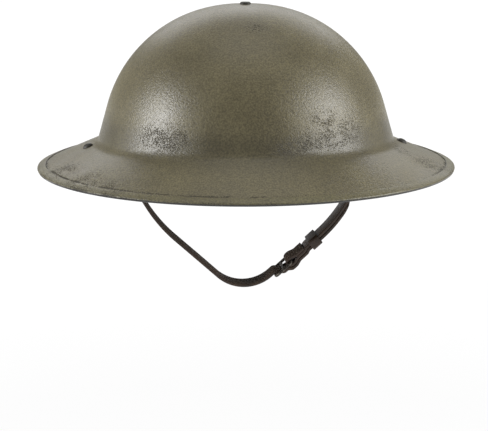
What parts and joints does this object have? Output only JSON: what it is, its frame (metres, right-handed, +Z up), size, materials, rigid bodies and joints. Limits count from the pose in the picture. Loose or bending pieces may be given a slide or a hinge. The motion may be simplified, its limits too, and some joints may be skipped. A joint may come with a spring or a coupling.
{
  "type": "steel helmet",
  "caption": "Pressed steel helmet with a round bowl and a wide shallow brim, a banded rim, an inner liner of bands and rubber tubes, and a leather chin strap on wire bales.",
  "frame": {"origin": "middle of the liner's lower edge, level with the foot of the bowl, where the head goes in", "axes": "+Z up through the crown, -Y the way the wearer faces, +X the wearer's left"},
  "size_m": [0.291, 0.303, 0.1999],
  "materials": {
    "shell_paint": "satin olive drab paint with fine sand in it, worn",
    "band_paint": "satin olive drab paint, worn along its edge",
    "dark_steel": "dark painted steel",
    "wire_steel": "dull blackened wire",
    "washer_steel": "dull steel",
    "buckle_steel": "black lacquered wire, worn to the steel",
    "tube_rivet": "tarnished brass",
    "brown_leather": "dark brown vegetable tanned leather, worn",
    "oilcloth": "black oiled cloth, slightly glossy, stitched",
    "grey_rubber": "aged grey rubber tube",
    "pin_brass": "tarnished brass",
    "felt": "pressed wool felt",
    "cotton_net": "knotted cotton twine",
    "cotton_lace": "twisted cotton lace"
  },
  "bodies": {
    "root": {"helmet_shell": "shell_paint", "rim_band": "band_paint", "crown_rivet": "dark_steel", "crown_washer": "washer_steel", "side_rivet_left": "dark_steel", "side_rivet_right": "dark_steel", "strap_bracket_left": "dark_steel", "strap_bracket_right": "dark_steel", "outer_band": "oilcloth", "head_band": "oilcloth", "buffer_01": "grey_rubber", "buffer_02": "grey_rubber", "buffer_03": "grey_rubber", "buffer_04": "grey_rubber", "buffer_05": "grey_rubber", "buffer_06": "grey_rubber", "buffer_07": "grey_rubber", "buffer_08": "grey_rubber", "buffer_09": "grey_rubber", "buffer_10": "grey_rubber", "buffer_11": "grey_rubber", "buffer_12": "grey_rubber", "buffer_pins": "pin_brass", "crown_straps": "oilcloth", "crown_buffer": "grey_rubber", "felt_pad": "felt", "crown_net": "cotton_net", "draw_lace": "cotton_lace"},
    "left_bale": {"bale_left": "wire_steel"},
    "left_loop": {"strap_loop_left": "brown_leather", "strap_rivet_left": "tube_rivet", "strap_flex_left": "brown_leather"},
    "chin_strap": {"long_strap": "brown_leather", "short_strap": "brown_leather", "slide_buckle": "buckle_steel"},
    "keeper": {"strap_keeper": "brown_leather"},
    "right_loop": {"strap_loop_right": "brown_leather", "strap_rivet_right": "tube_rivet", "strap_flex_right": "brown_leather"},
    "right_bale": {"bale_right": "wire_steel"}
  },
  "joints": [
    {"name": "left_bale_sway", "type": "hinge", "parent": "root", "child": "left_bale", "pos_m": [0.09739, 0, -0.0051], "axis": [0, 1, 0], "range_deg": [-12, 12]},
    {"name": "left_loop_turn", "type": "hinge", "parent": "left_bale", "child": "left_loop", "pos_m": [0.09133, 0, -0.01603], "axis": [0, 1, 0], "range_deg": [-13.5, 13.5]},
    {"name": "strap_swing", "type": "hinge", "parent": "left_loop", "child": "chin_strap", "pos_m": [0, 0, -0.03917], "axis": [1, 0, 0], "range_deg": [-60, 60], "deforming": ["strap_flex_left"]},
    {"name": "keeper_slide", "type": "slide", "parent": "chin_strap", "child": "keeper", "axis": [0.7431, 0, -0.6691], "range_m": [-0.007, 0.003]},
    {"name": "right_loop_swing", "type": "hinge", "parent": "chin_strap", "child": "right_loop", "pos_m": [0, 0, -0.03917], "axis": [1, 0, 0], "range_deg": [-60, 60], "deforming": ["strap_flex_right"]},
    {"name": "right_bale_turn", "type": "hinge", "parent": "right_loop", "child": "right_bale", "pos_m": [-0.09133, 0, -0.01603], "axis": [0, 1, 0], "range_deg": [-13.5, 13.5]}
  ],
  "couplings": [
    {"joint": "left_loop_turn", "follows": "left_bale_sway", "ratio": -1.0663},
    {"joint": "right_bale_turn", "follows": "left_bale_sway", "ratio": 1.0663},
    {"joint": "right_loop_swing", "follows": "strap_swing", "ratio": -1}
  ]
}
